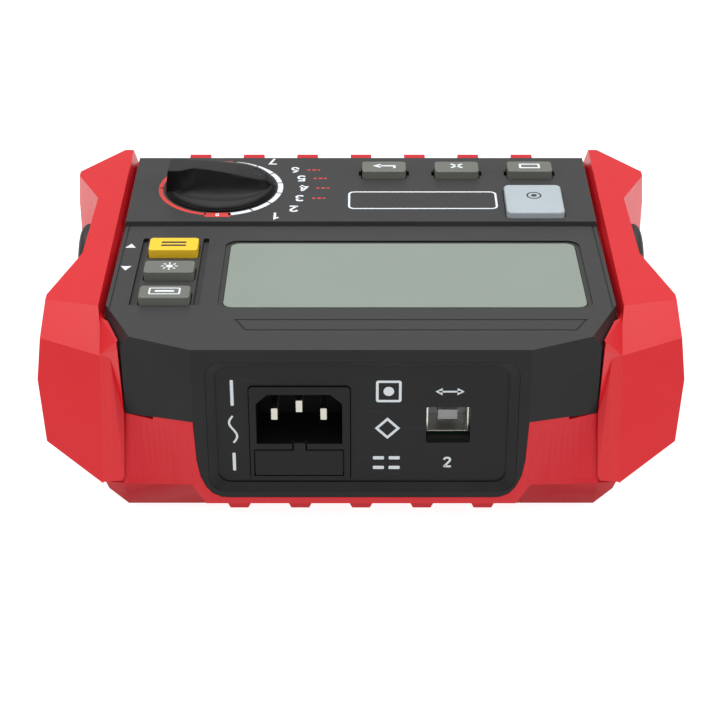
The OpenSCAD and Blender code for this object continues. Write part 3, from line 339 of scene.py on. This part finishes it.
# ---------------------------------------------------------------- pieces made here
def piece(name, verts, faces, mat, body, smooth=30):
    me = bpy.data.meshes.new(name)
    me.from_pydata([tuple(v) for v in verts], [], faces)
    bm = bmesh.new()
    bm.from_mesh(me)
    bmesh.ops.remove_doubles(bm, verts=bm.verts, dist=1e-6)
    bmesh.ops.dissolve_degenerate(bm, edges=bm.edges, dist=1e-6)
    bmesh.ops.recalc_face_normals(bm, faces=bm.faces)
    for f in bm.faces:
        f.smooth = True
    for e in bm.edges:
        if len(e.link_faces) == 2 and e.calc_face_angle(0) > math.radians(smooth):
            e.smooth = False
    bm.to_mesh(me)
    bm.free()
    me.materials.append(M[mat])
    o = bpy.data.objects.new(name, me)
    scene.collection.objects.link(o)
    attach(o, body)
    return o


def slab(outlines, place, h0, h1):
    """Closed slabs over flat outlines, as verts and faces. Outlines are counter-clockwise lists of (u, v); a pair (outer, inner) is a ring with equal counts."""
    V, F = [], []
    for line in outlines:
        k = len(V)
        if isinstance(line, dict):
            outer, inner = line["outer"], line["inner"]
            n = len(outer)
            for h in (h0, h1):
                V += [place(u, v, h) for u, v in outer]
                V += [place(u, v, h) for u, v in inner]
            last = n if line.get("closed", True) else n - 1
            for i in range(last):
                j = (i + 1) % n
                a, b, c, d = k + i, k + j, k + n + j, k + n + i
                F.append([a, b, c, d])
                F.append([x + 2 * n for x in (d, c, b, a)])
                F.append([a, b, b + 2 * n, a + 2 * n])
                F.append([d, c, c + 2 * n, d + 2 * n])
            if not line.get("closed", True):
                for i in (0, n - 1):
                    F.append([k + i, k + n + i, k + 3 * n + i, k + 2 * n + i])
        else:
            n = len(line)
            for h in (h0, h1):
                V += [place(u, v, h) for u, v in line]
            F.append([k + i for i in range(n)])
            F.append([k + n + i for i in reversed(range(n))])
            for i in range(n):
                j = (i + 1) % n
                F.append([k + i, k + j, k + n + j, k + n + i])
    return V, F


def rounded(x0, x1, y0, y1, r, n=5):
    pts = []
    for cx, cy, a0 in ((x1 - r, y1 - r, 0), (x0 + r, y1 - r, 90), (x0 + r, y0 + r, 180), (x1 - r, y0 + r, 270)):
        for i in range(n + 1):
            a = math.radians(a0 + 90 * i / n)
            pts.append((cx + r * math.cos(a), cy + r * math.sin(a)))
    return pts


def frame_line(x0, x1, y0, y1, r, w):
    return {"outer": rounded(x0, x1, y0, y1, r), "inner": rounded(x0 + w, x1 - w, y0 + w, y1 - w, max(0.05, r - w))}


def circle(cx, cy, r, n=32):
    return [(cx + r * math.cos(2 * math.pi * i / n), cy + r * math.sin(2 * math.pi * i / n)) for i in range(n)]


def circle_line(cx, cy, r, w, n=36):
    return {"outer": circle(cx, cy, r, n), "inner": circle(cx, cy, r - w, n)}


def arc(cx, cy, r0, r1, a0, a1, n=24):
    """Part of a ring; r0 and r1 are a number or a function of the share along it."""
    f0 = r0 if callable(r0) else (lambda t: r0)
    f1 = r1 if callable(r1) else (lambda t: r1)
    inner, outer = [], []
    for i in range(n + 1):
        t = i / n
        a = math.radians(a0 + (a1 - a0) * t)
        inner.append((cx + f0(t) * math.cos(a), cy + f0(t) * math.sin(a)))
        outer.append((cx + f1(t) * math.cos(a), cy + f1(t) * math.sin(a)))
    return {"outer": outer, "inner": inner, "closed": False}


def stroke(points, w):
    """A line of that width through the points, with mitred corners, as a ring strip."""
    a, b = [], []
    n = len(points)
    for i in range(n):
        p = Vector(points[i])
        d0 = (p - Vector(points[i - 1])).normalized() if i > 0 else None
        d1 = (Vector(points[i + 1]) - p).normalized() if i < n - 1 else None
        d0, d1 = d0 or d1, d1 or d0
        t = (d0 + d1).normalized()
        m = Vector((-t.y, t.x))
        k = w / 2 / max(0.35, m.dot(Vector((-d0.y, d0.x))))
        a.append(tuple(p + m * k))
        b.append(tuple(p - m * k))
    return {"outer": a, "inner": b, "closed": False}


def loop(cx, cy, rx, ry, w, a0=0, a1=360, n=28):
    outer, inner = [], []
    for i in range(n + 1):
        a = math.radians(a0 + (a1 - a0) * i / n)
        outer.append((cx + (rx + w / 2) * math.cos(a), cy + (ry + w / 2) * math.sin(a)))
        inner.append((cx + (rx - w / 2) * math.cos(a), cy + (ry - w / 2) * math.sin(a)))
    return {"outer": outer, "inner": inner, "closed": False}


def digit(d, w=0.18):
    """Strokes of a plain figure in a box 0.6 wide and 1 high."""
    D = {
        0: [loop(0.3, 0.5, 0.3 - w / 2, 0.5 - w / 2, w)],
        1: [stroke([(0.08, 0.72), (0.34, 0.95), (0.34, 0)], w)],
        2: [stroke([(0.05, 0.72), (0.09, 0.84), (0.18, 0.9), (0.32, 0.92), (0.46, 0.87), (0.52, 0.76), (0.5, 0.62), (0.08, 0.1), (0.09, 0.09), (0.6, 0.09)], w)],
        3: [stroke([(0.05, 0.8), (0.16, 0.9), (0.32, 0.92), (0.46, 0.86), (0.5, 0.72), (0.42, 0.58), (0.25, 0.53)], w),
            stroke([(0.25, 0.53), (0.44, 0.5), (0.53, 0.36), (0.5, 0.18), (0.38, 0.09), (0.2, 0.08), (0.04, 0.2)], w)],
        4: [stroke([(0.44, 0), (0.44, 0.9), (0.38, 0.9), (0.05, 0.3), (0.05, 0.26), (0.62, 0.26)], w)],
        5: [stroke([(0.54, 0.91), (0.12, 0.91), (0.09, 0.53), (0.3, 0.6), (0.46, 0.54), (0.53, 0.36), (0.48, 0.17), (0.34, 0.09), (0.18, 0.09), (0.04, 0.2)], w)],
        6: [loop(0.3, 0.3, 0.3 - w / 2, 0.3 - w / 2, w), stroke([(0.1, 0.36), (0.14, 0.62), (0.27, 0.82), (0.46, 0.92)], w)],
        7: [stroke([(0.03, 0.91), (0.55, 0.91), (0.54, 0.86), (0.22, 0)], w)],
    }
    return D[d]


def figures(text, cx, cy, h, w=0.18, turn=0.0, gap=0.16):
    """Plain figures centred at (cx, cy), h high, turned by an angle."""
    total = len(text) * 0.6 + (len(text) - 1) * gap
    c, sn = math.cos(turn), math.sin(turn)
    out = []
    for i, ch in enumerate(text):
        for line in digit(int(ch), w):
            def put(q, i=i):
                u, v = (q[0] + i * (0.6 + gap) - total / 2) * h, (q[1] - 0.5) * h
                return (cx + u * c - v * sn, cy + u * sn + v * c)
            out.append({"outer": [put(q) for q in line["outer"]], "inner": [put(q) for q in line["inner"]], "closed": line.get("closed", True)})
    return out


INK = (0.004, 0.03)


def marks(name, outlines, place, mat, body="casing", h=INK):
    V, F = slab(outlines, place, h[0], h[1])
    return piece(name, V, F, mat, body, smooth=40)


# ---- grey-green film laminated on the window, nearly level with the panel
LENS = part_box("display_lens")
lens_top = (LENS[1].z * 1000 - 57.2 + (LENS[0].y * 1000 - FACE - 8.6) * math.tan(TILT)) / math.cos(TILT)
marks("display_film", [rounded(-39.75, 65.25, 26.25, 70.2, 2.8)], slope, "film", h=(lens_top + 0.04, lens_top + 0.68))

# ---- dial round the selector
white = [arc(KX, KY, 18.45, 20.1, -90 + 22.5 * k + (11.8 if k else 10.2) - 0.0, -90 + 22.5 * (k + 1) + 10.2, 10) for k in range(7)]
marks("dial_segments", white, level, "white_ink")
red = [arc(KX, KY, 18.6, 20.0, 180, 180 + 79, 30),
       arc(KX, KY, 18.6, 20.0, 130, 180, 20),
       arc(KX, KY, 18.6, lambda t: 20.4 - 1.6 * t, 82.5, 130, 20)]
marks("dial_red_arc", red, level, "red_ink")
marks("dial_off_pad", [rounded(KX - 4.2, KX + 4.3, KY - 20.9, KY - 17.95 - 0.0, 1.0)], level, "red_ink")
marks("dial_off_figure", figures("0", KX, KY - 19.4, 2.0, 0.2, math.pi), level, "white_ink", h=(0.03, 0.05))
spots = [("1", -26.9, 87.5), ("2", -21.3, 92.5), ("3", -19.6, 100.0), ("4", -18.4, 107.4), ("5", -19.4, 114.6), ("6", -21.6, 121.0), ("7", -29.0, 127.4)]
marks("dial_figures", [q for t, x, y in spots for q in figures(t, x, y, 4.4, 0.17, math.pi)], level, "white_ink")
ticks = []
for t, x, y in spots:
    for k, (dx, w) in enumerate(((3.4, 1.0), (5.0, 1.3), (6.8, 0.8))):
        if t in "3456":
            ticks.append(rounded(x + dx + 0.6, x + dx + 0.6 + w, y - 0.45, y + 0.45, 0.2, 3))
marks("dial_red_ticks", ticks, level, "red_ink")

# ---- rating box on the right of the level panel, drawn as its outline only and left bare inside
marks("box_outline", [frame_line(-4.1, 43.4, 92.3, 104.9, 2.0, 0.65)], level, "white_ink")

# ---- arrows beside the left keys
marks("key_arrows", [[(-71.9, 66.6), (-68.7, 66.6), (-70.3, 69.6)], [(-68.7, 53.4), (-71.9, 53.4), (-70.3, 50.4)]], slope, "white_ink")

# ---- plain symbols on the keys; each rides on its own key
def on_key(node, y0=None):
    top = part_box(node)[1].z * 1000
    if y0 is None:
        return lambda x, y, h: P(x, y, top + h)
    high = (top - 57.2 + (y0 - 8.6) * math.tan(TILT)) / math.cos(TILT)
    return lambda x, y, h: slope(x, y, high + h)


def sun(cx, cy, r):
    out = [circle(cx, cy, r * 0.42, 16)]
    for k in range(8):
        a = math.radians(45 * k)
        out.append(stroke([(cx + r * 0.62 * math.cos(a), cy + r * 0.62 * math.sin(a)), (cx + r * math.cos(a), cy + r * math.sin(a))], r * 0.2))
    return out


marks("symbol_yellow", [rounded(-60.6, -53.0, 64.4, 65.5, 0.4, 3), rounded(-60.6, -53.0, 62.2, 63.3, 0.4, 3)], on_key("yellow_key", 59.5), "dark_ink", "yellow_button")
marks("symbol_backlight", sun(-56.8, 47.9, 2.5), on_key("backlight_key", 44.0), "white_ink", "backlight_button")
marks("symbol_display", [frame_line(-61.4, -52.2, 28.9, 33.2, 0.5, 0.5), rounded(-59.6, -54.0, 30.5, 31.6, 0.3, 3)], on_key("display_key", 27.0), "white_ink", "display_button")
marks("symbol_enter", [stroke([(10.9, 117.0), (10.9, 118.7), (5.8, 118.7)], 0.8), [(6.4, 117.2), (6.4, 120.2), (3.8, 118.7)]], on_key("enter_key"), "white_ink", "enter_button")
marks("symbol_clear", [stroke([(29.4, 117.3), (33.0, 120.1)], 0.8), stroke([(29.4, 120.1), (33.0, 117.3)], 0.8)], on_key("clear_key"), "white_ink", "clear_button", h=(0.004, 0.03))
marks("symbol_memory", [frame_line(51.6, 58.4, 116.9, 120.3, 0.4, 0.7)], on_key("memory_key"), "white_ink", "memory_button")
marks("symbol_measure", [circle_line(55.0, 98.0, 2.4, 0.5, 32), circle(55.0, 98.0, 0.9, 20)], on_key("measure_key"), "dark_ink", "measure_button")

# ---- sloping rim of the connector pocket, from its mouth down to the plate
rim_o, rim_i = rounded(-43.5, 44.3, 10.0, 53.2, 4.9, 10), rounded(-41.0, 41.6, 12.2, 51.0, 3.6, 10)
V, F = [], []
m = len(rim_o)
for line, h in ((rim_o, 1.92), (rim_i, 0.45), (rim_i, 0.02), (rim_o, 0.02)):
    V += [plate(u, v, h) for u, v in line]
for i in range(m):
    j = (i + 1) % m
    for a, b in ((0, 1), (1, 2), (2, 3), (3, 0)):
        F.append([a * m + i, b * m + i, b * m + j, a * m + j])
piece("pocket_rim", V, F, "plate", "casing", smooth=30)

# ---- connector plate: plain shapes of the size of the printed ones
sq = [frame_line(4.2, 11.4, 39.0, 46.1, 0.7, 0.75), circle(7.8, 42.55, 1.5, 24)]
marks("plate_square", sq, plate, "grey_ink")
marks("plate_diamond", [{"outer": [(3.9, 30.3), (7.5, 26.7), (11.1, 30.3), (7.5, 33.9)], "inner": [(4.95, 30.3), (7.5, 27.75), (10.05, 30.3), (7.5, 32.85)]}], plate, "grey_ink")
marks("plate_bars", [rounded(3.4, 6.6, 16.4, 17.5, 0.3, 3), rounded(3.4, 6.6, 19.7, 20.8, 0.3, 3), rounded(7.9, 11.1, 16.4, 17.5, 0.3, 3), rounded(7.9, 11.1, 19.7, 20.8, 0.3, 3)], plate, "grey_ink")
link = [rounded(21.9, 28.1, 42.2, 42.75, 0.2, 3), [(20.9, 42.48), (22.9, 41.3), (22.9, 43.66)], [(29.1, 42.48), (27.1, 43.66), (27.1, 41.3)]]
marks("plate_arrow", link, plate, "grey_ink")
marks("plate_port_bar", figures("2", 24.7, 18.8, 3.6, 0.17), plate, "grey_ink")
wave = stroke([(-36.3 + 1.1 * math.sin(2 * math.pi * t / 12), 25.4 + 9.0 * t / 12) for t in range(13)], 0.6)
marks("plate_wave", [wave, rounded(-36.75, -35.85, 15.9, 22.0, 0.3, 3), rounded(-36.75, -35.85, 37.8, 46.3, 0.3, 3)], plate, "grey_ink")


# ---- selector knob
def knob():
    R = 17.8

    def lerp(table, x):
        if x <= table[0][0]:
            return table[0][1]
        for (a, p), (b, q) in zip(table, table[1:]):
            if x <= b:
                return p + (q - p) * (x - a) / (b - a)
        return table[-1][1]

    TOP = [(-17.6, 56.0), (-17.0, 58.6), (-16.5, 62.7), (-16.1, 63.15), (-12.3, 63.25), (-8.3, 63.5), (-7.7, 63.45), (0, 62.5), (5.2, 61.4), (9.2, 60.3), (13.6, 59.0), (15.0, 58.5), (15.6, 58.0), (16.2, 56.6), (16.9, 56.2)]
    HALF = [(-17.6, 4.6), (-16.3, 4.9), (-12.3, 4.9), (-9.6, 3.8), (-8, 3.4), (-5, 3.55), (0, 3.95), (5.2, 4.05), (9.2, 3.95), (12.5, 3.5), (14.8, 2.7), (16.0, 1.9), (16.6, 0.8)]
    FOOT = [(-17.6, 5.0), (-16.3, 5.4), (-14.6, 6.4), (-12.6, 8.8), (-9.5, 11.3), (-5.5, 13.2), (-1, 14.1), (3, 14.2), (7, 13.1), (10.5, 11.0), (13.5, 7.8), (15.4, 4.6), (16.6, 1.2)]

    def dome(r):
        if r < 16.9:
            return 55.6 + 1.15 * math.sqrt(max(0, 1 - (r / 17.6) ** 2)) * 1.9
        return 55.6 + 1.15 * math.sqrt(max(0, 1 - (min(r, 17.6) / 17.6) ** 2)) * 1.9 - 0.25 * ((r - 16.9) / 0.9) ** 2

    xs = []
    for a, b, n in ((-17.8, -17.0, 4), (-17.0, -16.0, 4), (-16.0, -12.3, 5), (-12.3, -8.3, 5), (-8.3, -7.7, 2), (-7.7, 9.2, 18), (9.2, 14.0, 8), (14.0, 17.0, 8), (17.0, 17.8, 5)):
        xs += [a + (b - a) * i / n for i in range(n)]
    xs.append(17.8)
    rows = []
    for x in xs:
        r = math.sqrt(max(0, R * R - x * x))
        top = lerp(TOP, x)
        w = min(lerp(HALF, x), max(0, r - 0.45))
        f = min(max(lerp(FOOT, x), w + 0.25), max(w, r - 0.35))
        floor_f = dome(math.hypot(x, f))
        top = max(top, dome(abs(x)))
        pts = []
        for k in (0, 0.35, 0.7, 0.9):
            pts.append((w * k, top - 0.10 * k * k))
        pts += [(max(0, w - 0.22), top - 0.12), (w, top - 0.28)]
        for t in (0.03, 0.08, 0.15, 0.25, 0.37, 0.5, 0.63, 0.76, 0.88, 0.96, 1.0):
            y = w + (f - w) * t
            z = floor_f + (top - 0.28 - floor_f) * (1 - t) ** 3.4 - 0.9 * math.sin(math.pi * t) * min(1, (top - floor_f) / 4)
            pts.append((y, z))
        for k in (0.04, 0.2, 0.4, 0.6, 0.8, 0.9, 0.97, 1.0):
            y = f + (r - f) * k
            pts.append((y, min(dome(min(R, math.hypot(x, y))), 60)))
        pts.append((r, 55.15))
        pts.append((r, PANEL + 0.42))
        rows.append([(x, y, z) for y, z in pts])
    V, F = [], []
    n = len(rows[0])
    for row in rows:
        for sgn in (1, -1):
            V += [level(KX + x, KY + sgn * y, z - PANEL) for x, y, z in row]
    for i in range(len(rows) - 1):
        a, b = i * 2 * n, (i + 1) * 2 * n
        for j in range(n - 1):
            F.append([a + j, b + j, b + j + 1, a + j + 1])
            F.append([a + n + j, a + n + j + 1, b + n + j + 1, b + n + j])
        F.append([a + n - 1, b + n - 1, b + 2 * n - 1, a + 2 * n - 1])
    o = piece("knob", V, F, "knob", "selector", smooth=30)
    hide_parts("selector_knob")
    # hub that goes down to the rotor
    V, F = [], []
    m = 48
    prof = [(3.05, 51.0), (3.05, 55.0), (5.95, 55.0), (5.95, 49.6), (3.05, 49.6)]
    for k in range(m):
        a = 2 * math.pi * k / m
        V += [level(KX + q * math.cos(a), KY + q * math.sin(a), z - PANEL) for q, z in prof]
    for k in range(m):
        for j in range(len(prof)):
            a, b = k * len(prof), ((k + 1) % m) * len(prof)
            F.append([a + j, b + j, b + (j + 1) % len(prof), a + (j + 1) % len(prof)])
    piece("knob_hub", V, F, "knob", "selector", smooth=30)
    # the small engraved pointer at the tip
    tipz = lambda x: lerp(TOP, x)
    on_tip = lambda u, v, h: level(KX + u, KY + v, tipz(u) + 0.02 + h - PANEL)
    marks("knob_pointer", [{"outer": [(11.0, -0.85), (12.9, -0.75), (12.9, 0.75), (11.0, 0.85)], "inner": [(11.5, -0.4), (12.4, -0.35), (12.4, 0.35), (11.5, 0.4)]}], on_tip, "dark_ink", "selector", h=(-0.1, 0.03))


knob()

# ---------------------------------------------------------------- floor
me = bpy.data.meshes.new("floor")
me.from_pydata([(-6, -6, 0), (6, -6, 0), (6, 6, 0), (-6, 6, 0)], [], [[0, 1, 2, 3]])
floor = bpy.data.objects.new("floor", me)
scene.collection.objects.link(floor)
fm = material("floor_paper", (0.35, 0.35, 0.35), 0.85, ior=1.1, grain=0.05, grain_size=2, vary=0.005, rough_vary=0.03)
fb = fm.node_tree.nodes["Principled BSDF"]
fb.inputs["Emission Color"].default_value = (1, 1, 1, 1)
fb.inputs["Emission Strength"].default_value = 0.90
me.materials.append(fm)
